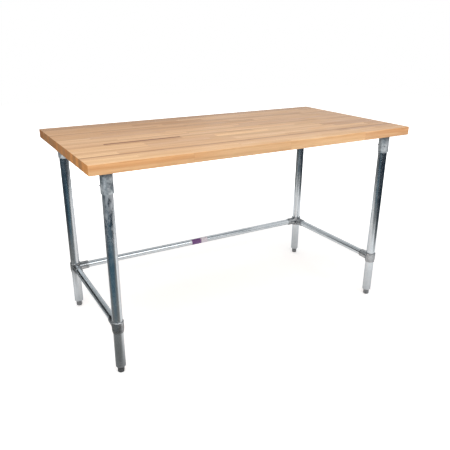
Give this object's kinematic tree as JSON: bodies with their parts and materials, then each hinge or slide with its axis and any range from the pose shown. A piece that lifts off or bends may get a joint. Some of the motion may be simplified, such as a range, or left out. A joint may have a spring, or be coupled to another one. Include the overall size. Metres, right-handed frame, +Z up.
{
  "type": "butcher block table",
  "caption": "Free-standing work table with an edge-grain butcher block top, round tube legs, tube bracing at the sides and rear, and screw-adjusted feet.",
  "frame": {"origin": "on the floor under the middle of the top", "axes": "+X along the top's length to the right, +Y from the open front to the braced rear, +Z up"},
  "size_m": [1.524, 0.762, 0.889],
  "materials": {
    "hardwood_top": "oiled, satin",
    "galvanized_tube": "galvanized, spangled",
    "cast_socket": "cast, matte",
    "cast_fitting": "cast, matte",
    "foot_insert": "plated, satin",
    "levelling_foot": "plated, satin",
    "zinc_screw": "zinc plated",
    "label": "printed colour block, satin"
  },
  "bodies": {
    "frame_and_top": {"brace_label": "label", "brace_left": "galvanized_tube", "brace_rear": "galvanized_tube", "brace_right": "galvanized_tube", "corner_fitting_left": "cast_fitting", "corner_fitting_right": "cast_fitting", "end_fitting_left": "cast_fitting", "end_fitting_right": "cast_fitting", "fitting_set_screws": "zinc_screw", "foot_insert_front_left": "foot_insert", "foot_insert_front_right": "foot_insert", "foot_insert_rear_left": "foot_insert", "foot_insert_rear_right": "foot_insert", "leg_front_left": "galvanized_tube", "leg_front_right": "galvanized_tube", "leg_rear_left": "galvanized_tube", "leg_rear_right": "galvanized_tube", "leg_socket_front_left": "cast_socket", "leg_socket_front_right": "cast_socket", "leg_socket_rear_left": "cast_socket", "leg_socket_rear_right": "cast_socket", "socket_set_screws": "zinc_screw", "socket_wood_screws": "zinc_screw", "top_rail_01": "hardwood_top", "top_rail_02": "hardwood_top", "top_rail_03": "hardwood_top", "top_rail_04": "hardwood_top", "top_rail_05": "hardwood_top", "top_rail_06": "hardwood_top", "top_rail_07": "hardwood_top", "top_rail_08": "hardwood_top", "top_rail_09": "hardwood_top", "top_rail_10": "hardwood_top", "top_rail_11": "hardwood_top", "top_rail_12": "hardwood_top", "top_rail_13": "hardwood_top", "top_rail_14": "hardwood_top", "top_rail_15": "hardwood_top", "top_rail_16": "hardwood_top", "top_rail_17": "hardwood_top", "top_rail_18": "hardwood_top", "top_rail_19": "hardwood_top", "top_rail_20": "hardwood_top"},
    "stud_front_left": {"foot_stud_front_left": "zinc_screw"},
    "foot_front_left": {"foot_front_left": "levelling_foot"},
    "stud_front_right": {"foot_stud_front_right": "zinc_screw"},
    "foot_front_right": {"foot_front_right": "levelling_foot"},
    "stud_rear_left": {"foot_stud_rear_left": "zinc_screw"},
    "foot_rear_left": {"foot_rear_left": "levelling_foot"},
    "stud_rear_right": {"foot_stud_rear_right": "zinc_screw"},
    "foot_rear_right": {"foot_rear_right": "levelling_foot"}
  },
  "joints": [
    {"name": "front_left_stud_travel", "type": "slide", "parent": "frame_and_top", "child": "stud_front_left", "axis": [0, 0, -1], "range_m": [0, 0.0254]},
    {"name": "front_left_foot_turn", "type": "hinge", "parent": "stud_front_left", "child": "foot_front_left", "pos_m": [-0.6815, -0.312, 0.011], "axis": [0, 0, -1], "range_deg": [0, 5750]},
    {"name": "front_right_stud_travel", "type": "slide", "parent": "frame_and_top", "child": "stud_front_right", "axis": [0, 0, -1], "range_m": [0, 0.0254]},
    {"name": "front_right_foot_turn", "type": "hinge", "parent": "stud_front_right", "child": "foot_front_right", "pos_m": [0.6815, -0.312, 0.011], "axis": [0, 0, -1], "range_deg": [0, 5750]},
    {"name": "rear_left_stud_travel", "type": "slide", "parent": "frame_and_top", "child": "stud_rear_left", "axis": [0, 0, -1], "range_m": [0, 0.0254]},
    {"name": "rear_left_foot_turn", "type": "hinge", "parent": "stud_rear_left", "child": "foot_rear_left", "pos_m": [-0.6815, 0.312, 0.011], "axis": [0, 0, -1], "range_deg": [0, 5750]},
    {"name": "rear_right_stud_travel", "type": "slide", "parent": "frame_and_top", "child": "stud_rear_right", "axis": [0, 0, -1], "range_m": [0, 0.0254]},
    {"name": "rear_right_foot_turn", "type": "hinge", "parent": "stud_rear_right", "child": "foot_rear_right", "pos_m": [0.6815, 0.312, 0.011], "axis": [0, 0, -1], "range_deg": [0, 5750]}
  ],
  "couplings": [
    {"joint": "front_left_stud_travel", "follows": "front_left_foot_turn", "m_per_rad": 0.00025266},
    {"joint": "front_right_stud_travel", "follows": "front_right_foot_turn", "m_per_rad": 0.00025266},
    {"joint": "rear_left_stud_travel", "follows": "rear_left_foot_turn", "m_per_rad": 0.00025266},
    {"joint": "rear_right_stud_travel", "follows": "rear_right_foot_turn", "m_per_rad": 0.00025266}
  ]
}
